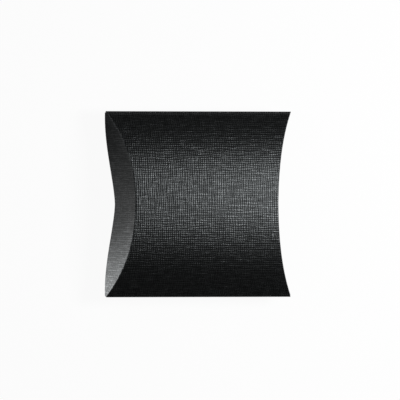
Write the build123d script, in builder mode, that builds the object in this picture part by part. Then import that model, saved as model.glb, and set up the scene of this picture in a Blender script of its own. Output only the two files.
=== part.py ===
from build123d import *
import os
from math import atan, sin

# A pillow box of thin embossed card, closed, lying on its lower panel.
# +X runs along the length, +Y across it to the plain fold, and +Z is up.
# The origin is on the surface it lies on, under the middle of the box.
# The card is one die-cut blank: each area between its creases is a piece here.

# The card and the closed box, in millimetres
board = 0.4
box_length = 70.0
box_width = 64.7
box_thickness = 16.25
fullness_power = 2.35

# The two long folds, and the strip that is glued inside one of them
fold_strip = 2.0
fold_radius = 0.45
glue_thickness = 0.1
glue_ease = 0.01
glue_flap_width = 10.0
glue_flap_clearance = 1.6
glue_strip_width = 6.0
glue_strip_setback = 1.5
glue_strip_end_margin = 3.0

# The ends: a curved crease sinks into each panel, and two flaps close over each other
end_recess = 8.12
outer_flap_top_bow = 5.2
outer_flap_standoff = 1.2
crease_strip = 0.8
crease_radius = 0.22
flap_clearance = 0.15
outer_flap_tip_trim = 1.0
inner_flap_tip_trim = 2.5
inner_flap_cover_share = 0.62
foot_power = 1.55

# How many points draw each curve
curve_points = 13

half_length = box_length / 2
half_thickness = box_thickness / 2
fold_angle = atan(box_thickness * fullness_power / box_width)
half_width = box_width / 2 + fold_radius * (1 / sin(fold_angle) - 1)
panel_half_width = half_width - fold_strip
outer_flap_foot_bow = 2 * end_recess - outer_flap_standoff - outer_flap_top_bow

section = Plane(origin=(-half_length, 0, half_thickness), x_dir=(0, 1, 0), z_dir=(1, 0, 0))
plan = Plane.XY
lengthways = section.z_dir
upwards = plan.z_dir


def across(start, end):
    """Evenly spaced places across the box, from start to end."""
    step = (end - start) / (curve_points - 1)
    return [start + step * index for index in range(curve_points)]


def rise(y, depth):
    """Height above the mid-plane, at y, of the panel's surface at a depth below its outer face."""
    reach = half_width - depth / sin(fold_angle)
    return (half_thickness - depth) * (1 - abs(y / reach) ** fullness_power)


def top_recess(y):
    """How far the outer flap stands in from the corners, on the level of the panel's crown."""
    return end_recess - outer_flap_top_bow * abs(y / half_width) ** 2


def foot_recess(y):
    """The same on the level of the box's lowest line, where the flap stands a little ajar."""
    middle = end_recess - outer_flap_standoff
    return middle - outer_flap_foot_bow * abs(y / half_width) ** foot_power


def crease_recess(y):
    """How far the crease stands in from the corners: where the flap meets the panel."""
    crown_share = (1 + rise(y, 0) / half_thickness) / 2
    return crown_share * top_recess(y) + (1 - crown_share) * foot_recess(y)


def end_points(setback, reach, sign):
    """Points in plan along an end's crease, set back into the box, across the given reach."""
    return [(sign * (half_length - crease_recess(y) - setback), y) for y in across(-reach, reach)]


def plan_face(setback):
    """The box in plan, with both ends set back from their creases."""
    with BuildSketch(plan) as face:
        with BuildLine():
            left = Spline(*end_points(setback, half_width, -1))
            right = Spline(*end_points(setback, half_width, 1))
            Line(left @ 0, right @ 0)
            Line(left @ 1, right @ 1)
        make_face()
    return face.sketch


def layer_face(side, start, end, depth, thickness, inset=0):
    """A layer of the upper (side 1) or lower (side -1) panel, in cross-section, from start to end."""
    with BuildSketch(section.offset(inset)) as face:
        with BuildLine():
            near = Spline(*[(y, side * rise(y, depth)) for y in across(start, end)])
            far = Spline(*[(y, side * rise(y, depth + thickness)) for y in across(start, end)])
            Line(near @ 0, far @ 0)
            Line(near @ 1, far @ 1)
        make_face()
    return face.sketch


def band_face(reach, low, high):
    """A band across the end, in cross-section, between two heights that are functions of y."""
    with BuildSketch(section) as face:
        with BuildLine():
            lower = Spline(*[(y, low(y)) for y in across(-reach, reach)])
            upper = Spline(*[(y, high(y)) for y in across(-reach, reach)])
            Line(lower @ 0, upper @ 0)
            Line(lower @ 1, upper @ 1)
        make_face()
    return face.sketch


# The upper panel: its cut edge shows along the seam, at -Y
seam_depth = board + glue_thickness
seam_edge = half_width - seam_depth / (2 * sin(fold_angle))
panel_setback = board + flap_clearance
with BuildPart() as upper_panel:
    add(layer_face(1, -seam_edge, panel_half_width, 0, board))
    extrude(amount=box_length, dir=lengthways)
    add(plan_face(panel_setback))
    extrude(amount=box_thickness, dir=upwards, mode=Mode.INTERSECT)

# The lower panel: the box lies on the middle of it
lower_setback = 2 * board + 2 * flap_clearance
with BuildPart() as lower_panel:
    add(layer_face(-1, -panel_half_width, panel_half_width, 0, board))
    extrude(amount=box_length, dir=lengthways)
    add(plan_face(lower_setback))
    extrude(amount=box_thickness, dir=upwards, mode=Mode.INTERSECT)

# The plain fold, at +Y, where one panel turns into the other
inner_tip = half_width - board / sin(fold_angle)
with BuildPart() as side_fold:
    with BuildSketch(section) as fold_section:
        with BuildLine():
            Polyline(
                (panel_half_width, rise(panel_half_width, 0)),
                (half_width, 0),
                (panel_half_width, -rise(panel_half_width, 0)),
                (panel_half_width, -rise(panel_half_width, board)),
                (inner_tip, 0),
                (panel_half_width, rise(panel_half_width, board)),
                close=True,
            )
        make_face()
        fillet(fold_section.vertices().sort_by(Axis.X)[-1], fold_radius)
    extrude(amount=box_length, dir=lengthways)
    add(plan_face(lower_setback))
    extrude(amount=box_thickness, dir=upwards, mode=Mode.INTERSECT)

# The seam fold, at -Y, where the lower panel turns back inside the upper one
nose = seam_edge
nose_drop = rise(nose, 0)
inner_nose = half_width - (seam_depth + 2 * board) / (2 * sin(fold_angle))
with BuildPart() as seam_fold:
    with BuildSketch(section) as seam_section:
        with BuildLine():
            Polyline(
                (-panel_half_width, -rise(panel_half_width, 0)),
                (-nose, -nose_drop),
                (-panel_half_width, rise(panel_half_width, seam_depth)),
                (-panel_half_width, rise(panel_half_width, seam_depth + board)),
                (-inner_nose, -nose_drop),
                (-panel_half_width, -rise(panel_half_width, board)),
                close=True,
            )
        make_face()
        fillet(seam_section.vertices().sort_by(Axis.X)[0], fold_radius / 2)
    extrude(amount=box_length, dir=lengthways)
    add(plan_face(lower_setback))
    extrude(amount=box_thickness, dir=upwards, mode=Mode.INTERSECT)

# The glue flap, inside the upper panel along the seam, narrower in length towards its free edge
glue_flap_edge = panel_half_width - glue_flap_width
flap_root_half_length = half_length - crease_recess(panel_half_width) - glue_flap_clearance
flap_edge_half_length = half_length - crease_recess(glue_flap_edge) - glue_flap_clearance
with BuildPart() as glue_flap:
    add(layer_face(1, -panel_half_width, -glue_flap_edge, seam_depth, board))
    extrude(amount=box_length, dir=lengthways)
    with BuildSketch(plan):
        with BuildLine():
            Polyline(
                (-flap_root_half_length, -panel_half_width),
                (flap_root_half_length, -panel_half_width),
                (flap_edge_half_length, -glue_flap_edge),
                (-flap_edge_half_length, -glue_flap_edge),
                close=True,
            )
        make_face()
    extrude(amount=box_thickness, dir=upwards, mode=Mode.INTERSECT)

# The strip of adhesive between the glue flap and the upper panel
glue_start = panel_half_width - glue_strip_setback
glue_end = glue_start - glue_strip_width
glue_half_length = flap_edge_half_length - glue_strip_end_margin
with BuildPart() as glue_strip:
    glue_layer = glue_thickness - 2 * glue_ease
    glue_inset = half_length - glue_half_length
    add(layer_face(1, -glue_start, -glue_end, board + glue_ease, glue_layer, glue_inset))
    extrude(amount=2 * glue_half_length, dir=lengthways)

outer_reach = half_width - outer_flap_tip_trim
inner_reach = half_width - inner_flap_tip_trim
inner_setback = board + flap_clearance


def outer_sheet(sign):
    """The outer flap's sheet before it is trimmed: a plan curve at its crown joined to one at its foot."""
    with BuildPart() as sheet:
        for level, recess in ((box_thickness, top_recess), (0, foot_recess)):
            with BuildSketch(plan.offset(level)):
                with BuildLine():
                    reach = across(-half_width, half_width)
                    outside = Spline(*[(sign * (half_length - recess(y)), y) for y in reach])
                    inside = Spline(*[(sign * (half_length - recess(y) - board), y) for y in reach])
                    Line(outside @ 0, inside @ 0)
                    Line(outside @ 1, inside @ 1)
                make_face()
        loft(ruled=True)
    return sheet.part


def outer_piece(sign, low, high):
    """A part of the outer flap at one end, between two heights."""
    with BuildPart() as piece:
        add(outer_sheet(sign))
        add(band_face(outer_reach, low, high))
        extrude(amount=box_length, dir=lengthways, mode=Mode.INTERSECT)
    return piece.part


def inner_piece(sign, low, high):
    """A part of the inner flap at one end, between two heights, behind the outer flap."""
    with BuildPart() as piece:
        with BuildSketch(plan):
            with BuildLine():
                outside = Spline(*end_points(inner_setback, inner_reach, sign))
                inside = Spline(*end_points(inner_setback + board, inner_reach, sign))
                Line(outside @ 0, inside @ 0)
                Line(outside @ 1, inside @ 1)
            make_face()
        extrude(amount=box_thickness, dir=upwards)
        add(band_face(inner_reach, low, high))
        extrude(amount=box_length, dir=lengthways, mode=Mode.INTERSECT)
    return piece.part


def crown(y):
    return rise(y, 0)


def under_crown(y):
    return rise(y, 0) - crease_strip


def foot(y):
    return -rise(y, 0)


def over_foot(y):
    return crease_strip - rise(y, 0)


def inner_top(y):
    return (2 * inner_flap_cover_share - 1) * rise(y, 0)


def crease_edge(piece, sign, side):
    """The long outside edge of a crease strip, on the crown (side 1) or the foot (side -1)."""
    long_edges = piece.edges().sort_by(SortBy.LENGTH)[-4:]
    face_edges = long_edges.sort_by(lambda edge: side * (edge @ 0.5).Z)[-2:]
    return face_edges.sort_by(lambda edge: sign * (edge @ 0.5).X)[-1]


os.makedirs("parts", exist_ok=True)

fixed = {
    "upper_panel": upper_panel,
    "lower_panel": lower_panel,
    "side_fold": side_fold,
    "seam_fold": seam_fold,
    "glue_flap": glue_flap,
    "glue_strip": glue_strip,
}
for name, piece in fixed.items():
    piece.part.label = name
    export_step(piece.part, f"parts/{name}.step")

# Each end has an outer flap on the upper panel's crease and an inner one on the lower panel's
for end, sign in {"left": -1, "right": 1}.items():
    with BuildPart() as outer_flap:
        add(outer_piece(sign, foot, under_crown))
    outer_flap.part.label = f"{end}_outer_flap"
    export_step(outer_flap.part, f"parts/{end}_outer_flap.step")

    with BuildPart() as upper_crease:
        add(outer_piece(sign, under_crown, crown))
        fillet(crease_edge(upper_crease, sign, 1), crease_radius)
    upper_crease.part.label = f"{end}_upper_crease"
    export_step(upper_crease.part, f"parts/{end}_upper_crease.step")

    with BuildPart() as inner_flap:
        add(inner_piece(sign, over_foot, inner_top))
    inner_flap.part.label = f"{end}_inner_flap"
    export_step(inner_flap.part, f"parts/{end}_inner_flap.step")

    with BuildPart() as lower_crease:
        add(inner_piece(sign, foot, over_foot))
        fillet(crease_edge(lower_crease, sign, -1), crease_radius)
    lower_crease.part.label = f"{end}_lower_crease"
    export_step(lower_crease.part, f"parts/{end}_lower_crease.step")

print("outer hinge", half_length - end_recess - board, box_thickness)
print("inner hinge", half_length - end_recess - inner_setback - board)
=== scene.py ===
"""Linen card pillow box: its folded sleeve, closing flaps and glue, on a plain stage."""
import math

import bpy
from bpy.props import FloatProperty, FloatVectorProperty, IntProperty, PointerProperty
from mathutils import Matrix, Vector


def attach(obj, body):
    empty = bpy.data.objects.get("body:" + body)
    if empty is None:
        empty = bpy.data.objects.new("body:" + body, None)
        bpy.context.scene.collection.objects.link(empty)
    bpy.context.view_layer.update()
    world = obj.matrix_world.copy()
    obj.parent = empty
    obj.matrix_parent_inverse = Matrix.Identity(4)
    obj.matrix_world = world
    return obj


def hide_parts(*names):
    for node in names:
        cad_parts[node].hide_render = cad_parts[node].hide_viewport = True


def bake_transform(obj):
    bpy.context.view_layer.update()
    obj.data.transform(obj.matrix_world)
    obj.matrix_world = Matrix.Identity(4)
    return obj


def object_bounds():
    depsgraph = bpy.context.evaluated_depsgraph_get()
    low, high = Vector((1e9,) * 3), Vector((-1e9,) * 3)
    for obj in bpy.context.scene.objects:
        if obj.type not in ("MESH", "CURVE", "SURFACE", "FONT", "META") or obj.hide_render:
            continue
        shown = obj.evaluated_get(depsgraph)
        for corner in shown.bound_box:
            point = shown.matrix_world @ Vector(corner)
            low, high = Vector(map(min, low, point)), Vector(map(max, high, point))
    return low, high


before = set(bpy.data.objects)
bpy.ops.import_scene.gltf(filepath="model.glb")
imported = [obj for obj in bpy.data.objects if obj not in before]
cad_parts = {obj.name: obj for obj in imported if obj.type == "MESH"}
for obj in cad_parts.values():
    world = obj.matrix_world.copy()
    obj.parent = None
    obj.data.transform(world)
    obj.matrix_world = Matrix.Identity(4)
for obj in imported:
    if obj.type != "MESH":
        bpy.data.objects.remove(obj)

CAD_LOW, CAD_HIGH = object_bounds()

bl_info = {
    "name": "Linen Card Pillow Box",
    "version": (1, 0, 0),
    "blender": (4, 5, 0),
    "location": "View3D > Sidebar > Pillow Box",
    "description": "Builds a closed pillow box of embossed black card on a plain stage",
    "category": "Add Mesh",
}

# Each end and the way it faces along X
ENDS = {"left": -1, "right": 1}

# A piece's UV map holds its places on the flat blank, UV_UNIT metres to one unit
BLANK_MAP = "blank"
UV_UNIT = 0.1

# The attribute that says how rubbed the card is, and how much painted highlight it carries along the
# flaps' creases, from 0 to 1
WEAR_AND_HIGHLIGHT = "wear"

# The picture's width in pixels, and where in it the middle of the box lies
PICTURE_WIDTH = 400
PICTURE_PLACE = (198.4, 204.2)

WHITE = (1, 1, 1, 1)


def length(name, description, default):
    return FloatProperty(
        name=name, description=description, default=default, unit="LENGTH", precision=5
    )


def number(name, description, default):
    return FloatProperty(name=name, description=description, default=default)


def factor(name, description, default):
    return FloatProperty(
        name=name, description=description, default=default, min=0, max=1, subtype="FACTOR"
    )


def tint(name, description, default):
    return FloatVectorProperty(
        name=name, description=description, default=default, subtype="COLOR", size=3
    )


def position(name, description, default):
    return FloatVectorProperty(
        name=name, description=description, default=default, subtype="TRANSLATION", size=3
    )


def pair(name, description, default):
    return FloatVectorProperty(name=name, description=description, default=default, size=2)


def millimetres(name, description, default):
    return FloatProperty(name=name, description=description, default=default, unit="CAMERA")


def angle(name, description, degrees):
    return FloatProperty(
        name=name, description=description, default=math.radians(degrees), subtype="ANGLE"
    )


def whole_number(name, description, default):
    return IntProperty(name=name, description=description, default=default)


class PillowBoxSizes(bpy.types.PropertyGroup):
    """The sizes of the closed box, in metres."""

    box_length: length("Length", "From corner to corner along the box", 0.070)
    box_width: length("Width", "Over the two long folds", 0.0647)
    box_thickness: length("Thickness", "At the middle of the box", CAD_HIGH.z - CAD_LOW.z)
    board: length("Board", "Thickness of the card", 0.0004)
    fullness: number(
        "Fullness", "Power of the panel's curve: 2 is a parabola, more is flatter on top", 2.35
    )
    fold_strip: length("Fold strip", "Width of card that counts as a long fold", 0.002)
    fold_radius: length("Fold radius", "Outside radius of the plain fold", 0.00045)
    fold_ease: length("Fold ease", "How far the plain fold's tip stays inside its solid's", 0.00005)
    nose_radius: length("Seam radius", "Outside radius of the fold at the seam", 0.0002)
    end_recess: length("End recess", "How far each end sinks in at its middle", 0.00812)
    crown_bow: length("Crown bow", "How much less the flap sinks in at its top corners", 0.0052)
    flap_standoff: length("Flap standoff", "How far the outer flap's foot stands ajar", 0.0012)
    foot_power: number(
        "Foot curve", "Power of the curve that the outer flap's foot follows in plan", 1.55
    )
    crease_radius: length("Crease radius", "Outside radius of the curved creases", 0.00042)
    crease_share: factor(
        "Crease share", "Most of the panel's height that a crease's radius takes up", 0.8
    )
    flap_clearance: length("Flap clearance", "Space between the flaps of one end", 0.00015)
    inner_cover: factor(
        "Inner flap height", "Share of the end's height that the inner flap covers", 0.62
    )
    inner_tip_trim: length("Inner flap trim", "How far the inner flap's tips stop short", 0.0025)
    outer_tip_trim: length("Outer flap trim", "How far the outer flap's tips stop short", 0.001)
    foot_lift: length("Foot lift", "How far the outer flap stays off the table", 0.00006)
    open_level: factor("Open level", "How near an open flap comes to its panel's level", 0.97)
    glue_gap: length("Glue thickness", "Space that the adhesive fills", 0.0001)
    glue_ease: factor("Glue ease", "Share of that space left free on each side of it", 0.1)
    glue_flap_width: length("Glue flap width", "From its fold to its free edge", 0.010)
    glue_flap_clearance: length("Glue flap clearance", "From its ends to the creases", 0.0016)
    glue_strip_width: length("Glue strip width", "Width of the band of adhesive", 0.006)
    glue_strip_setback: length("Glue strip setback", "From the fold to the adhesive", 0.0015)
    glue_strip_margin: length("Glue strip margin", "From the flap's ends to the adhesive", 0.003)


class PillowBoxFinish(bpy.types.PropertyGroup):
    """The colours and textures of the card."""

    face_colour: tint("Face", "Colour of the embossed face", (0.001, 0.00105, 0.00105))
    thread_colour: tint(
        "Thread crests", "Colour where the emboss stands up", (0.003, 0.0031, 0.0032)
    )
    # Light colour of rubbed card on the folds, which on the flaps' creases is also a painted
    # highlight
    worn_and_highlight_colour: tint(
        "Worn crease", "Colour of the stretched card on a crease", (0.06, 0.062, 0.064)
    )
    back_colour: tint("Back", "Colour of the plain back of the card", (0.02, 0.02, 0.021))
    edge_colour: tint("Cut edge", "Colour of the card's core", (0.035, 0.034, 0.034))
    glue_colour: tint("Glue", "Colour of the dried adhesive", (0.45, 0.42, 0.34))
    thread_pitch: length("Thread pitch", "Distance between embossed threads", 0.00076)
    thread_run: length("Thread run", "Usual length of one visible thread", 0.003)
    emboss_depth: length("Emboss depth", "Height of the embossed threads", 0.000065)
    fibre_depth: length("Fibre depth", "Height of the fibres on a plain or cut face", 0.00002)
    ripple_depth: length("Ripple depth", "Height of the ripples in the adhesive", 0.00004)
    crest_roughness: factor("Crest roughness", "Roughness of the threads", 0.35)
    gap_roughness: factor("Gap roughness", "Roughness between threads", 0.41)
    back_roughness: factor("Back roughness", "Roughness of the plain back", 0.8)
    edge_roughness: factor("Edge roughness", "Roughness of a cut edge", 0.85)
    glue_roughness: factor("Glue roughness", "Roughness of the adhesive", 0.3)
    crest_gloss: factor("Crest gloss", "Specular level of the threads", 0.76)
    gap_gloss: factor("Gap gloss", "Specular level between threads", 0.24)
    gloss_tint: tint("Gloss tint", "Colour of the card's sheen", (0.92, 0.98, 1.0))
    fold_wear: factor("Fold wear", "How rubbed the long folds are", 0.35)
    # How much rubbed card and painted highlight the flaps' creases carry
    crease_wear_and_highlight: factor("Crease wear", "How rubbed the flaps' creases are", 0.7)


class PillowBoxMesh(bpy.types.PropertyGroup):
    """How finely the pieces are divided."""

    along: whole_number("Along", "Divisions along the box", 40)
    across: whole_number("Across", "Divisions across a panel", 64)
    flap_rows: whole_number("Flap rows", "Divisions down a flap", 22)
    bend_rows: whole_number("Bend rows", "Divisions round a fold or crease", 6)
    glue_flap_rows: whole_number("Glue flap rows", "Divisions across the glue flap", 10)
    glue_rows: whole_number("Glue rows", "Divisions across the adhesive", 8)
    smooth_angle: angle("Smooth angle", "Edges sharper than this stay sharp", 35)


def spread(start, end, count):
    """Evenly spaced values from start to end, both included."""
    return [start + (end - start) * index / count for index in range(count + 1)]


def between(start, end, share):
    return start + (end - start) * share


class CardShape:
    """The closed box's surfaces, worked out from its sizes. Heights count from the mid-plane."""

    def __init__(self, sizes, mesh):
        self.sizes = sizes
        self.mesh = mesh
        self.mid_height = sizes.box_thickness / 2
        self.half_length = sizes.box_length / 2
        self.fold_angle = math.atan(sizes.box_thickness * sizes.fullness / sizes.box_width)
        rounded_off = sizes.fold_radius * (1 / math.sin(self.fold_angle) - 1)
        self.half_width = sizes.box_width / 2 + rounded_off
        self.panel_reach = self.half_width - sizes.fold_strip
        self.foot_bow = 2 * sizes.end_recess - sizes.flap_standoff - sizes.crown_bow
        self.seam_depth = sizes.board + sizes.glue_gap
        self.seam_edge = self.half_width - self.seam_depth / (2 * math.sin(self.fold_angle))
        self.glue_flap_edge = self.panel_reach - sizes.glue_flap_width

    def rise(self, y, depth=0.0):
        """Height above the mid-plane of the upper panel, at a depth below its outer face."""
        reach = self.half_width - depth / math.sin(self.fold_angle)
        return (self.mid_height - depth) * (1 - abs(y / reach) ** self.sizes.fullness)

    def wall_recess(self, y, z):
        """How far in from the corners the outer flap's face stands, at a place on the end."""
        share = abs(y / self.half_width)
        crown = self.sizes.end_recess - self.sizes.crown_bow * share**2
        foot = self.sizes.end_recess - self.sizes.flap_standoff
        foot -= self.foot_bow * share**self.sizes.foot_power
        return between(foot, crown, (z / self.mid_height + 1) / 2)

    def bend_radius(self, y):
        """The crease's radius, smaller towards the corners, where the flap is low."""
        return min(self.sizes.crease_radius, self.sizes.crease_share * self.rise(y))

    def crease_recess(self, y):
        return self.wall_recess(y, self.rise(y))

    def upper_start(self, y):
        """How far in from the corners the upper panel ends and its crease starts."""
        bend = self.bend_radius(y)
        return self.wall_recess(y, self.rise(y) - bend) + bend

    def inner_recess(self, y, z=0.0):
        """How far in from the corners the inner flap's upright face stands, at any height."""
        return self.crease_recess(y) + self.sizes.board + self.sizes.flap_clearance

    def lower_start(self, y):
        return self.inner_recess(y) + self.bend_radius(y)

    def glue_reach(self, y):
        """Half the glue flap's length at a place across."""
        return self.half_length - self.crease_recess(y) - self.sizes.glue_flap_clearance

    def fold_arc(self, side, radius, tip, drop):
        """Points round a long fold, from the panel on its first side to the other."""
        centre = tip - radius / math.sin(self.fold_angle)
        turn = math.pi / 2 - self.fold_angle
        angles = spread(turn, -turn, self.mesh.bend_rows)
        if side < 0:
            angles = list(reversed(angles))
        outwards = [centre + radius * math.cos(a) for a in angles]
        return [(side * y, radius * math.sin(a) + drop) for y, a in zip(outwards, angles)]

    def upper_path(self):
        """Cross-section of the upper panel, from its cut edge to the plain fold: (y, z, end)."""
        reach = spread(-self.seam_edge, self.panel_reach, self.mesh.across)
        return [(y, self.rise(y), self.half_length - self.upper_start(y)) for y in reach]

    def lower_path(self):
        reach = spread(self.panel_reach, -self.panel_reach, self.mesh.across)
        return [(y, -self.rise(y), self.half_length - self.lower_start(y)) for y in reach]

    def side_path(self):
        """Cross-section of the plain fold, from the upper panel to the lower one."""
        arc = self.fold_arc(1, self.sizes.fold_radius, self.half_width - self.sizes.fold_ease, 0)
        points = [(self.panel_reach, self.rise(self.panel_reach)), *arc]
        points.append((self.panel_reach, -self.rise(self.panel_reach)))
        upper = self.half_length - self.upper_start(self.panel_reach)
        lower = self.half_length - self.lower_start(self.panel_reach)
        tip = self.half_length - self.sizes.board
        last = len(points) - 1
        ends = [upper] + [tip] * (last - 1) + [lower]
        return [(y, z, end) for (y, z), end in zip(points, ends)]

    def seam_path(self):
        """Cross-section of the seam's fold, from the lower panel in under the upper one."""
        drop = -self.rise(self.seam_edge)
        arc = self.fold_arc(-1, self.sizes.nose_radius, self.seam_edge, drop)
        points = [(-self.panel_reach, -self.rise(self.panel_reach)), *arc]
        points.append((-self.panel_reach, self.rise(self.panel_reach, self.seam_depth)))
        first = self.half_length - self.lower_start(self.panel_reach)
        tip = self.half_length - self.sizes.board
        ends = [first] + [tip] * (len(points) - 2) + [self.glue_reach(self.panel_reach)]
        return [(y, z, end) for (y, z), end in zip(points, ends)]

    def glue_flap_path(self):
        """Cross-section of the glue flap, from the seam's fold to its free edge."""
        root, end = self.glue_reach(self.panel_reach), self.glue_reach(self.glue_flap_edge)
        path = []
        for share in spread(0, 1, self.mesh.glue_flap_rows):
            y = -between(self.panel_reach, self.glue_flap_edge, share)
            path.append((y, self.rise(y, self.seam_depth), between(root, end, share)))
        return path

    def outer_wall(self, y):
        """Path down the outer flap at one place across, from the panel's end to its foot.

        Each point is (recess, z), as on the inner flap.
        """
        top, bend = self.rise(y), self.bend_radius(y)
        start = self.upper_start(y)
        arc = spread(0, math.pi / 2, self.mesh.bend_rows)
        path = [(start - bend * math.sin(a), top - bend + bend * math.cos(a)) for a in arc]
        rows = spread(top - bend, self.sizes.foot_lift - top, self.mesh.flap_rows)[1:]
        return path + [(self.wall_recess(y, z), z) for z in rows]

    def inner_wall(self, y):
        """Path up the inner flap at one place across, from the panel's end to its free edge."""
        foot, bend = -self.rise(y), self.bend_radius(y)
        start, face = self.lower_start(y), self.inner_recess(y)
        arc = spread(0, math.pi / 2, self.mesh.bend_rows)
        path = [(start - bend * math.sin(a), foot + bend - bend * math.cos(a)) for a in arc]
        free_edge = (2 * self.sizes.inner_cover - 1) * self.rise(y)
        rows = spread(foot + bend, free_edge, self.mesh.flap_rows)[1:]
        return path + [(face, z) for z in rows]


def card_shape():
    scene = bpy.context.scene
    return CardShape(scene.pillow_box_sizes, scene.pillow_box_mesh)


def run_lengths(points):
    """Distance along a path of 2D or 3D points, at each of them."""
    total, lengths = 0.0, [0.0]
    for before, after in zip(points, points[1:]):
        total += math.dist(before, after)
        lengths.append(total)
    return lengths


def lay_sheet(name, columns, rows, place):
    """A grid laid on a surface: place(column, row) gives its point, spot on the blank, and its wear
    with the creases' painted highlight.
    """
    bpy.ops.object.select_all(action="DESELECT")
    bpy.ops.mesh.primitive_grid_add(
        x_subdivisions=columns, y_subdivisions=rows, size=1, calc_uvs=True
    )
    sheet = bpy.context.object
    sheet.name = sheet.data.name = name
    mesh = sheet.data
    mesh.uv_layers[0].name = BLANK_MAP
    wear = mesh.attributes.new(WEAR_AND_HIGHLIGHT, "FLOAT", "POINT")
    flat = []
    for vertex in mesh.vertices:
        column = round((vertex.co.x + 0.5) * columns)
        row = round((vertex.co.y + 0.5) * rows)
        point, blank, worn_and_highlit = place(column, row)
        vertex.co = point
        wear.data[vertex.index].value = worn_and_highlit
        flat.append(blank)
    uv = mesh.uv_layers[BLANK_MAP].data
    for loop in mesh.loops:
        uv[loop.index].uv = [value / UV_UNIT for value in flat[loop.vertex_index]]
    return sheet


def face_outwards(sheet, towards):
    """Turns the sheet over if its faces don't point the way given."""
    mesh = sheet.data
    total = sum((face.normal * face.area for face in mesh.polygons), Vector())
    if total.dot(Vector(towards)) < 0:
        bpy.ops.object.mode_set(mode="EDIT")
        bpy.ops.mesh.select_all(action="SELECT")
        bpy.ops.mesh.flip_normals()
        bpy.ops.object.mode_set(mode="OBJECT")


def apply_modifier(piece, kind, **settings):
    modifier = piece.modifiers.new(kind.title(), kind)
    for setting, value in settings.items():
        setattr(modifier, setting, value)
    bpy.ops.object.modifier_apply(modifier=modifier.name)


def make_board(sheet, thickness, materials):
    """Gives a sheet its thickness, inwards, with its own finish inside and on its cut edges."""
    for material in materials:
        sheet.data.materials.append(material)
    last = len(materials) - 1
    apply_modifier(
        sheet,
        "SOLIDIFY",
        thickness=thickness,
        offset=-1,
        use_even_offset=True,
        use_quality_normals=True,
        material_offset=min(1, last),
        material_offset_rim=last,
    )
    bpy.ops.object.shade_smooth_by_angle(angle=bpy.context.scene.pillow_box_mesh.smooth_angle)


def finish_piece(nodes):
    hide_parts(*nodes)


class Nodes:
    """A node tree, built one node at a time."""

    def __init__(self, tree):
        self.tree = tree

    def node(self, kind, inputs=None, **settings):
        made = self.tree.nodes.new(kind)
        for setting, value in settings.items():
            setattr(made, setting, value)
        for socket, value in (inputs or {}).items():
            self.feed(made.inputs[socket], value)
        return made

    def feed(self, socket, value):
        if isinstance(value, bpy.types.NodeSocket):
            self.tree.links.new(value, socket)
        else:
            socket.default_value = value

    def maths(self, operation, first, second=0.0, clamp=False):
        inputs = {0: first, 1: second}
        return self.node("ShaderNodeMath", inputs, operation=operation, use_clamp=clamp).outputs[0]

    def ramp(self, value, low, high, first=0.0, last=1.0, **settings):
        """Stretches values between low and high to the range from first to last."""
        inputs = {
            "Value": value, "From Min": low, "From Max": high, "To Min": first, "To Max": last
        }
        return self.node("ShaderNodeMapRange", inputs, **settings).outputs["Result"]

    def mix_surfaces(self, share, first, second):
        return self.node("ShaderNodeMixShader", {0: share, 1: first, 2: second}).outputs[0]


class Finish(Nodes):
    """A new material's node tree."""

    def __init__(self, name):
        self.material = bpy.data.materials.new(name)
        self.material.use_nodes = True
        super().__init__(self.material.node_tree)
        self.surface = self.tree.nodes["Principled BSDF"]

    def give(self, sockets):
        """Feeds the surface's sockets, by their names."""
        for socket, value in sockets.items():
            self.feed(self.surface.inputs[socket], value)

    def stretch(self, vector, scale):
        return self.node("ShaderNodeMapping", {"Vector": vector, "Scale": scale}).outputs["Vector"]

    def noise(self, vector, scale, detail, roughness):
        """A noise pattern, with a scale along each axis."""
        place = self.stretch(vector, scale)
        inputs = {"Vector": place, "Scale": 1.0, "Detail": detail, "Roughness": roughness}
        return self.node("ShaderNodeTexNoise", inputs).outputs["Fac"]

    def mix(self, share, first, second):
        inputs = {"Factor": share, "A": first, "B": second}
        return self.node("ShaderNodeMix", inputs, data_type="RGBA").outputs["Result"]

    def bump(self, height, distance):
        inputs = {"Strength": 1.0, "Distance": distance, "Height": height}
        return self.node("ShaderNodeBump", inputs).outputs["Normal"]


def opaque(colour, level=1.0):
    """A colour made darker or lighter, with full alpha."""
    return (*[value * level for value in colour], 1.0)


# How far a thread wanders sideways, in thread pitches, and its height where it is faintest
WANDER = 1.3
FAINTEST = 0.35

# How far the second set's patterns lie from the first set's, in thread pitches
CROSSWAYS_SHIFT = 31

# Scale across a thread of the pattern that hides it, and the share of it at which it wanders
SIDEWAYS_SCALE = 0.8
WANDER_SCALE = 0.6

# Scales of the streaks in the threads' shine, along the box and across it
STREAK_SCALE = (0.8, 1.3)

# Detail and roughness of those patterns
WANDER_GRAIN = (1.0, 0.5)
THREAD_GRAIN = (1.0, 0.4)
STREAK_GRAIN = (0.0, 0.5)

# Where each pattern starts to count and where it counts in full
THREAD_SHOWS = (0.2, 0.72)
STREAK_SHOWS = (0.36, 0.62)
CREST = (0.2, 0.7)
# The rubbed threads also carry the painted highlight along the flaps' creases
RUBBED_AND_HIGHLIT_THREADS = (0.1, 0.6)
CLOUD_GLOSS = (-0.2, 0.85)
STREAK_GLOSS = (-0.3, 0.9)

# Patterns on the card, its cut edge and the adhesive: scale, detail and roughness
CLOUDS = ((14, 14, 1), 3.0, 0.55)
BACK_FIBRES = ((160, 260, 1), 4.0, 0.6)
EDGE_FIBRES = ((3000, 3000, 12000), 3.0, 0.6)
GLUE_RIPPLES = ((400, 400, 400), 2.0, 0.5)

# The darkest and the lightest shade of each mottled colour
BACK_SHADES = (0.7, 1.4)
EDGE_SHADES = (0.6, 1.5)
GLUE_SHADES = (0.8, 1.0)


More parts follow.
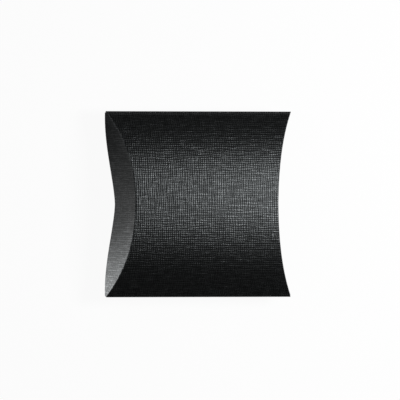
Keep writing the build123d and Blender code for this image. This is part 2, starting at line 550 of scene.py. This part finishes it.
def thread_set(card, place, across, scale, shift):
    """One set of embossed threads: fine ridges that wander a little and fade in and out."""
    inputs = {0: place, 1: (shift, shift, 0)}
    moved = card.node("ShaderNodeVectorMath", inputs, operation="ADD").outputs[0]
    wander_scale = tuple(value * WANDER_SCALE for value in scale)
    wander = card.maths("MULTIPLY", card.noise(moved, wander_scale, *WANDER_GRAIN), WANDER)
    phase = card.maths("MULTIPLY", card.maths("ADD", across, wander), 2 * math.pi)
    ridge = card.ramp(card.maths("SINE", phase), -1, 1)
    visible = card.ramp(card.noise(moved, scale, *THREAD_GRAIN), *THREAD_SHOWS)
    return card.maths("MULTIPLY", ridge, card.maths("ADD", FAINTEST, visible))


def linen(card, blank, looks):
    """Two crossing sets of threads: a height from 0 to about 1, and the streaks in their shine."""
    pitches = UV_UNIT / looks.thread_pitch
    place = card.stretch(blank, (pitches, pitches, 1))
    parts = card.node("ShaderNodeSeparateXYZ", {0: place}).outputs
    run = looks.thread_pitch / looks.thread_run
    lengthways = thread_set(card, place, parts["Y"], (run, SIDEWAYS_SCALE, 1), 0)
    crossways = thread_set(card, place, parts["X"], (SIDEWAYS_SCALE, run, 1), CROSSWAYS_SHIFT)
    height = card.maths("MULTIPLY", card.maths("ADD", lengthways, crossways), 0.5)
    streak_scale = (run * STREAK_SCALE[0], STREAK_SCALE[1], 1)
    streaks = card.ramp(card.noise(place, streak_scale, *STREAK_GRAIN), *STREAK_SHOWS)
    return height, streaks


def make_face_finish(name, looks):
    """Black card with a linen emboss, lighter where it is creased: rubbed card, and on the flaps'
    creases a painted highlight too.
    """
    card = Finish(name)
    blank = card.node("ShaderNodeUVMap", uv_map=BLANK_MAP).outputs["UV"]
    worn_and_highlit = card.node("ShaderNodeAttribute", attribute_name=WEAR_AND_HIGHLIGHT).outputs["Fac"]
    threads, streaks = linen(card, blank, looks)
    crest = card.ramp(threads, *CREST)
    plain = card.mix(crest, opaque(looks.face_colour), opaque(looks.thread_colour))
    # Rubbed card and painted highlight: the light worn colour mixed onto the crests along folds and
    # creases
    rubbed_and_highlit = card.maths("MULTIPLY", worn_and_highlit, card.ramp(threads, *RUBBED_AND_HIGHLIT_THREADS), clamp=True)
    shine = card.maths("MULTIPLY", crest, card.ramp(card.noise(blank, *CLOUDS), *CLOUD_GLOSS))
    shine = card.maths("MULTIPLY", shine, card.ramp(streaks, *STREAK_GLOSS))
    smoother = card.maths("MULTIPLY", shine, looks.gap_roughness - looks.crest_roughness)
    glossier = card.maths("MULTIPLY", shine, looks.crest_gloss - looks.gap_gloss)
    card.give({
        "Base Color": card.mix(rubbed_and_highlit, plain, opaque(looks.worn_and_highlight_colour)),
        "Roughness": card.maths("SUBTRACT", looks.gap_roughness, smoother),
        "Specular IOR Level": card.maths("ADD", glossier, looks.gap_gloss),
        "Specular Tint": opaque(looks.gloss_tint),
        "Normal": card.bump(threads, looks.emboss_depth),
    })
    return card.material


def mottled(finish, place, pattern, colour, shades, roughness, depth):
    """Gives a finish a colour and a surface that both follow one noise pattern."""
    noise = finish.noise(place, *pattern)
    finish.give({
        "Base Color": finish.mix(noise, *[opaque(colour, shade) for shade in shades]),
        "Roughness": roughness,
        "Normal": finish.bump(noise, depth),
    })
    return finish.material


def make_back_finish(name, looks):
    """The plain, uncoated back of the card."""
    back = Finish(name)
    place = back.node("ShaderNodeUVMap", uv_map=BLANK_MAP).outputs["UV"]
    roughness, depth = looks.back_roughness, looks.fibre_depth
    return mottled(back, place, BACK_FIBRES, looks.back_colour, BACK_SHADES, roughness, depth)


def make_edge_finish(name, looks):
    """The card's core where the blank was cut: layers of pressed fibre."""
    edge = Finish(name)
    place = edge.node("ShaderNodeTexCoord").outputs["Object"]
    roughness, depth = looks.edge_roughness, looks.fibre_depth
    return mottled(edge, place, EDGE_FIBRES, looks.edge_colour, EDGE_SHADES, roughness, depth)


def make_glue_finish(name, looks):
    """Dried adhesive, a little glossy and uneven."""
    glue = Finish(name)
    place = glue.node("ShaderNodeTexCoord").outputs["Object"]
    roughness, depth = looks.glue_roughness, looks.ripple_depth
    return mottled(glue, place, GLUE_RIPPLES, looks.glue_colour, GLUE_SHADES, roughness, depth)


CARD_FINISHES = {
    "linen_card_face": make_face_finish,
    "plain_card_back": make_back_finish,
    "cut_card_edge": make_edge_finish,
}


def card_materials():
    """The card's three finishes, made once: its face, its back and its cut edge."""
    looks = bpy.context.scene.pillow_box_finish
    made = bpy.data.materials
    return [made.get(name) or make(name, looks) for name, make in CARD_FINISHES.items()]


def sleeve_piece(name, node, path, towards, worn_rows=None):
    """A lengthways area of the sleeve, from its cross-section path of (y, z, end)."""
    shape = card_shape()
    start = blank_start(shape, node)
    runs = run_lengths([point[:2] for point in path])
    columns, rows = shape.mesh.along, len(path) - 1
    worn_rows = worn_rows or [0.0] * len(path)

    def place(column, row):
        y, z, end = path[row]
        x = between(-end, end, column / columns)
        return (x, y, z + shape.mid_height), (x, start + runs[row]), worn_rows[row]

    sheet = lay_sheet(name, columns, rows, place)
    face_outwards(sheet, towards)
    make_board(sheet, shape.sizes.board, card_materials())
    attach(sheet, "box_body")
    finish_piece([node])


def blank_start(shape, node):
    """Where an area of the sleeve starts on the flat blank, across the threads."""
    start = 0.0
    order = {
        "upper_panel": shape.upper_path,
        "side_fold": shape.side_path,
        "lower_panel": shape.lower_path,
        "seam_fold": shape.seam_path,
        "glue_flap": shape.glue_flap_path,
    }
    for name, path in order.items():
        if name == node:
            return start
        start += run_lengths([point[:2] for point in path()])[-1]
    raise ValueError(f"no area of the sleeve is called {node}")


def wear_round(path):
    """Wear along a fold's path: full on its bend, none where it meets the panels."""
    wear = bpy.context.scene.pillow_box_finish.fold_wear
    return [0.0, *[wear] * (len(path) - 2), 0.0]


class PILLOWBOX_OT_panels(bpy.types.Operator):
    """Makes the two curved panels of the sleeve"""

    bl_idname = "pillowbox.panels"
    bl_label = "Panels"
    bl_options = {"REGISTER", "UNDO"}

    def execute(self, context):
        shape = card_shape()
        sleeve_piece("upper_panel_card", "upper_panel", shape.upper_path(), (0, 0, 1))
        sleeve_piece("lower_panel_card", "lower_panel", shape.lower_path(), (0, 0, -1))
        return {"FINISHED"}


class PILLOWBOX_OT_folds(bpy.types.Operator):
    """Makes the two long folds between the panels"""

    bl_idname = "pillowbox.folds"
    bl_label = "Long Folds"
    bl_options = {"REGISTER", "UNDO"}

    def execute(self, context):
        shape = card_shape()
        side, seam = shape.side_path(), shape.seam_path()
        sleeve_piece("side_fold_card", "side_fold", side, (0, 1, 0), wear_round(side))
        sleeve_piece("seam_fold_card", "seam_fold", seam, (0, -1, 0), wear_round(seam))
        return {"FINISHED"}


class PILLOWBOX_OT_glue_seam(bpy.types.Operator):
    """Makes the glue flap inside the seam and the adhesive on it"""

    bl_idname = "pillowbox.glue_seam"
    bl_label = "Glue Seam"
    bl_options = {"REGISTER", "UNDO"}

    def execute(self, context):
        shape = card_shape()
        sleeve_piece("glue_flap_card", "glue_flap", shape.glue_flap_path(), (0, 0, 1))
        self.make_strip(shape)
        return {"FINISHED"}

    def make_strip(self, shape):
        sizes = shape.sizes
        start = shape.panel_reach - sizes.glue_strip_setback
        rows = spread(-start, sizes.glue_strip_width - start, shape.mesh.glue_rows)
        half = shape.glue_reach(shape.glue_flap_edge) - sizes.glue_strip_margin
        columns = shape.mesh.along
        ease = sizes.glue_gap * sizes.glue_ease

        def place(column, row):
            x = between(-half, half, column / columns)
            y = rows[row]
            z = shape.rise(y, sizes.board + ease) + shape.mid_height
            return (x, y, z), (x, y), 0.0

        strip = lay_sheet("glue_strip_bead", columns, len(rows) - 1, place)
        face_outwards(strip, (0, 0, 1))
        glue = make_glue_finish("dried_glue", bpy.context.scene.pillow_box_finish)
        make_board(strip, sizes.glue_gap - 2 * ease, [glue])
        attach(strip, "box_body")
        finish_piece(["glue_strip"])


# How far from the middle of a crease its wear and painted highlight reach, as a share of the crease
WEAR_AND_HIGHLIGHT_REACH = 0.75


def flap_piece(end, kind, crease, reach, wall, face, side):
    """A closing flap and its curved crease, from the path of its wall at each place across.

    Side is 1 where the flap hangs from the upper panel and -1 where it stands on the lower one.
    """
    shape = card_shape()
    sign = ENDS[end]
    bend_rows = shape.mesh.bend_rows
    crease_wear_and_highlight = bpy.context.scene.pillow_box_finish.crease_wear_and_highlight
    places = spread(-reach, reach, shape.mesh.across)
    walls = [wall(y) for y in places]
    runs = [run_lengths(path) for path in walls]
    across = run_lengths([(y, shape.rise(y)) for y in places])

    def place(column, row):
        recess, z = walls[column][row]
        point = (sign * (shape.half_length - recess), places[column], z + shape.mid_height)
        start = shape.half_length - walls[column][0][0]
        blank = (sign * (start + runs[column][row]), across[column] + shape.seam_edge - reach)
        # Rubbed card and a painted highlight, strongest in the middle of the crease
        off_bend = abs(row - bend_rows / 2) / (bend_rows * WEAR_AND_HIGHLIGHT_REACH)
        return point, blank, crease_wear_and_highlight * max(0.0, 1 - off_bend)

    sheet = lay_sheet(f"{end}_{kind}_flap_card", shape.mesh.across, len(walls[0]) - 1, place)
    face_outwards(sheet, (sign, 0, 0))
    make_board(sheet, shape.sizes.board, card_materials())
    root = wall(0)[0][0]
    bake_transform(sheet)
    shares = [bend_share(shape, corner.co, root, face, side) for corner in sheet.data.vertices]
    finish_piece([f"{end}_{kind}_flap", f"{end}_{crease}_crease"])


def bend_share(shape, point, root, face, side):
    """A flap point's share of its fold's turn, scaled by the open level."""
    z = point.z - shape.mid_height
    below = max(0.0, shape.rise(point.y) - shape.sizes.board - side * z)
    span = shape.mid_height + root - face(point.y, z) - side * z
    share = below / max(span, shape.sizes.board)
    return min(1.0, share * shape.sizes.open_level)


class PILLOWBOX_OT_outer_flaps(bpy.types.Operator):
    """Makes the outer flap and its crease at each end"""

    bl_idname = "pillowbox.outer_flaps"
    bl_label = "Outer Flaps"
    bl_options = {"REGISTER", "UNDO"}

    def execute(self, context):
        shape = card_shape()
        reach = shape.half_width - shape.sizes.outer_tip_trim
        for end in ENDS:
            flap_piece(end, "outer", "upper", reach, shape.outer_wall, shape.wall_recess, 1)
        return {"FINISHED"}


class PILLOWBOX_OT_inner_flaps(bpy.types.Operator):
    """Makes the inner flap and its crease at each end"""

    bl_idname = "pillowbox.inner_flaps"
    bl_label = "Inner Flaps"
    bl_options = {"REGISTER", "UNDO"}

    def execute(self, context):
        shape = card_shape()
        reach = shape.half_width - shape.sizes.inner_tip_trim
        for end in ENDS:
            flap_piece(end, "inner", "lower", reach, shape.inner_wall, shape.inner_recess, -1)
        return {"FINISHED"}


class PillowBoxStage(bpy.types.PropertyGroup):
    """The camera, the floor, the world and the lamp."""

    tilt: angle("Tilt", "Camera's lean towards the left end", 22)
    lens: millimetres("Lens", "Focal length", 1300.0)
    sensor: millimetres("Sensor", "Width of the sensor", 36.0)
    frame_width: length("Frame width", "Width of the view at the box", 0.13913)
    floor_size: length("Floor size", "Side of the floor", 12.0)
    floor_roughness: factor("Floor roughness", "Roughness of the floor", 0.9)
    floor_pale: factor("Floor, seen", "How pale the camera sees the floor", 0.8)
    floor_dim: factor("Floor, bounced", "How pale the floor is to the light it throws back", 0.15)
    floor_glow: factor("Floor glow", "Share of the floor's look that is its own white glow", 0.94)
    # Painted reflection: a glowing patch on the floor, seen only in reflections, that lights the
    # left flap's lower end
    bright_place: position("Bright place", "Middle of the bright patch", (-0.054, -0.036, 0))
    bright_radius: length("Bright radius", "Radius of the bright patch", 0.044)
    bright_power: number("Bright power", "Power by which the bright patch fades", 2.6)
    bright_glow: number("Bright glow", "Extra glow in the middle of the bright patch", 23.0)
    # Painted shade in the reflections: a dimmer patch of floor that darkens the left flap's upper
    # end
    shade_place: position("Shade place", "Middle of the dark patch", (-0.038, 0.025, 0))
    shade_radius: length("Shade radius", "Radius of the dark patch", 0.045)
    shade_power: number("Shade power", "Power by which the dark patch fades", 1.0)
    shade_glow: number("Shade glow", "Extra glow in the middle of the dark patch", -0.9)
    sky_side: pair("Sky side", "Sight's X where the glow starts and is full", (0.3, -0.5))
    sky_height: pair("Sky height", "Sight's Z where the glow starts and is full", (0.85, 0.35))
    sky_strength: pair("Sky strength", "World's strength without and with its glow", (0.02, 0.8))
    lamp_direction: position("Lamp direction", "Way from the crown to the lamp", (0.63, 0.105, 0.79))
    lamp_distance: length("Lamp distance", "How far the lamp is from the crown", 0.28)
    lamp_width: length("Lamp width", "Width of the lamp", 0.1)
    lamp_height: length("Lamp height", "Height of the lamp", 0.11)
    lamp_power: FloatProperty(
        name="Lamp power", description="Light that the lamp gives", default=0.77, unit="POWER"
    )


# The view's nearest and farthest depth, in shares of the camera's distance
CLIP_SHARES = (0.1, 10)


class PILLOWBOX_OT_stage(bpy.types.Operator):
    """Makes the camera, the floor, the world and the lamp"""

    bl_idname = "pillowbox.stage"
    bl_label = "Stage"
    bl_options = {"REGISTER", "UNDO"}

    def execute(self, context):
        scene = context.scene
        stage = scene.pillow_box_stage
        self.make_camera(scene, stage)
        self.make_floor(stage)
        self.make_world(scene, stage)
        self.make_lamp(scene, stage)
        scene.view_settings.view_transform = "Standard"
        return {"FINISHED"}

    def make_camera(self, scene, stage):
        """A far, narrow view of the box, placed in the frame as in the picture."""
        camera = bpy.data.objects.new("camera", bpy.data.cameras.new("camera"))
        scene.collection.objects.link(camera)
        scene.camera = camera
        camera.data.lens = stage.lens
        camera.data.sensor_width = stage.sensor
        distance = stage.frame_width * stage.lens / stage.sensor
        sight = Vector((-math.sin(stage.tilt), 0, math.cos(stage.tilt)))
        up = sight.cross(Vector((1, 0, 0))).normalized()
        right = up.cross(sight)
        pixel = stage.frame_width / PICTURE_WIDTH
        column, row = PICTURE_PLACE
        centre = Vector((0, 0, card_shape().mid_height))
        centre += right * (PICTURE_WIDTH / 2 - column) * pixel
        centre += up * (row - PICTURE_WIDTH / 2) * pixel
        camera.location = centre + sight * distance
        camera.rotation_mode = "QUATERNION"
        camera.rotation_quaternion = Matrix((right, up, sight)).transposed().to_quaternion()
        camera.data.clip_start, camera.data.clip_end = [distance * share for share in CLIP_SHARES]

    def make_floor(self, stage):
        bpy.ops.object.select_all(action="DESELECT")
        bpy.ops.mesh.primitive_plane_add(size=stage.floor_size)
        floor = bpy.context.object
        floor.name = "floor"
        floor.data.materials.append(self.make_floor_finish(stage))

    def make_floor_finish(self, stage):
        """White to the eye, dim to the box and clear from below, with two patches in the gloss: a
        painted reflection and a painted shade on the left flap.
        """
        floor = Finish("pale_floor")
        rays = floor.node("ShaderNodeLightPath").outputs
        shades = [opaque(WHITE[:3], level) for level in (stage.floor_dim, stage.floor_pale)]
        colour = floor.mix(rays["Is Camera Ray"], *shades)
        floor.give({"Base Color": colour, "Roughness": stage.floor_roughness})
        seen = floor.maths("ADD", rays["Is Camera Ray"], rays["Is Transmission Ray"], clamp=True)
        seen = floor.maths("ADD", seen, rays["Is Glossy Ray"], clamp=True)
        # Painted reflection and painted shade, seen only by glossy rays: a bright patch by the left
        # flap's lower end and a dark one by its upper end
        bright = self.patch(
            floor, stage.bright_place, stage.bright_radius, stage.bright_power, stage.bright_glow
        )
        shade = self.patch(
            floor, stage.shade_place, stage.shade_radius, stage.shade_power, stage.shade_glow
        )
        patches = floor.maths("MULTIPLY", rays["Is Glossy Ray"], floor.maths("ADD", bright, shade))
        strength = floor.maths("ADD", 1.0, patches)
        glow = floor.node("ShaderNodeEmission", {"Color": WHITE, "Strength": strength}).outputs[0]
        share = floor.maths("MULTIPLY", seen, stage.floor_glow)
        above = floor.mix_surfaces(share, floor.surface.outputs[0], glow)
        from_below = floor.node("ShaderNodeNewGeometry").outputs["Backfacing"]
        clear = floor.node("ShaderNodeBsdfTransparent").outputs[0]
        shown = floor.mix_surfaces(from_below, above, clear)
        floor.feed(floor.tree.nodes["Material Output"].inputs["Surface"], shown)
        return floor.material

    def patch(self, floor, centre, radius, power, glow):
        """A soft round patch of glow on the floor, strongest in its centre: painted light in the
        box's reflections, or painted shade where the glow is negative.
        """
        place = floor.node("ShaderNodeTexCoord").outputs["Object"]
        inputs = {0: place, 1: centre}
        away = floor.node("ShaderNodeVectorMath", inputs, operation="DISTANCE").outputs["Value"]
        near = floor.ramp(away, 0, radius, 1, 0)
        return floor.maths("MULTIPLY", floor.maths("POWER", near, power), glow)

    def make_world(self, scene, stage):
        """White to the eye, and dark to the box, with a low pale glow on one side."""
        scene.world = scene.world or bpy.data.worlds.new("world")
        scene.world.use_nodes = True
        sky = Nodes(scene.world.node_tree)
        sky.tree.nodes.clear()
        sight = sky.node("ShaderNodeTexCoord").outputs["Generated"]
        parts = sky.node("ShaderNodeSeparateXYZ", {0: sight}).outputs
        side = sky.ramp(parts["X"], *stage.sky_side, interpolation_type="SMOOTHSTEP")
        low = sky.ramp(parts["Z"], *stage.sky_height, interpolation_type="SMOOTHSTEP")
        glow = sky.maths("MULTIPLY", side, low)
        strength = sky.ramp(glow, 0, 1, *stage.sky_strength, interpolation_type="SMOOTHSTEP")
        dark = sky.node("ShaderNodeBackground", {"Color": WHITE, "Strength": strength}).outputs[0]
        white = sky.node("ShaderNodeBackground", {"Color": WHITE}).outputs[0]
        seen = sky.node("ShaderNodeLightPath").outputs["Is Camera Ray"]
        sky.node("ShaderNodeOutputWorld", {"Surface": sky.mix_surfaces(seen, dark, white)})

    def make_lamp(self, scene, stage):
        """A soft rectangular lamp that shines on the crown of the upper panel."""
        lamp = bpy.data.objects.new("key_softbox", bpy.data.lights.new("key_softbox", "AREA"))
        scene.collection.objects.link(lamp)
        lamp.data.shape = "RECTANGLE"
        lamp.data.size, lamp.data.size_y = stage.lamp_width, stage.lamp_height
        lamp.data.energy = stage.lamp_power
        crown = Vector((0, 0, CAD_HIGH.z))
        lamp.location = crown + stage.lamp_direction.normalized() * stage.lamp_distance
        lamp.rotation_mode = "QUATERNION"
        lamp.rotation_quaternion = (crown - lamp.location).to_track_quat("-Z", "Y")


CLASSES = (
    PillowBoxSizes,
    PillowBoxFinish,
    PillowBoxMesh,
    PillowBoxStage,
    PILLOWBOX_OT_panels,
    PILLOWBOX_OT_folds,
    PILLOWBOX_OT_glue_seam,
    PILLOWBOX_OT_outer_flaps,
    PILLOWBOX_OT_inner_flaps,
    PILLOWBOX_OT_stage,
)
GROUPS = {
    "pillow_box_sizes": PillowBoxSizes,
    "pillow_box_finish": PillowBoxFinish,
    "pillow_box_mesh": PillowBoxMesh,
    "pillow_box_stage": PillowBoxStage,
}
STEPS = ("panels", "folds", "glue_seam", "outer_flaps", "inner_flaps", "stage")


class PILLOWBOX_PT_panel(bpy.types.Panel):
    """Lists the pieces and their sizes in the 3D view's sidebar"""

    bl_idname = "PILLOWBOX_PT_panel"
    bl_label = "Pillow Box"
    bl_space_type = "VIEW_3D"
    bl_region_type = "UI"
    bl_category = "Pillow Box"

    def draw(self, context):
        layout = self.layout
        for step in STEPS:
            layout.operator(f"pillowbox.{step}")
        for name, group in GROUPS.items():
            box = layout.box()
            for field in group.__annotations__:
                box.prop(getattr(context.scene, name), field)


def register():
    for cls in (*CLASSES, PILLOWBOX_PT_panel):
        bpy.utils.register_class(cls)
    for name, group in GROUPS.items():
        setattr(bpy.types.Scene, name, PointerProperty(type=group))


def unregister():
    for name in GROUPS:
        delattr(bpy.types.Scene, name)
    for cls in reversed((*CLASSES, PILLOWBOX_PT_panel)):
        bpy.utils.unregister_class(cls)


def main():
    register()
    for step in STEPS:
        getattr(bpy.ops.pillowbox, step)()


if __name__ == "__main__":
    main()
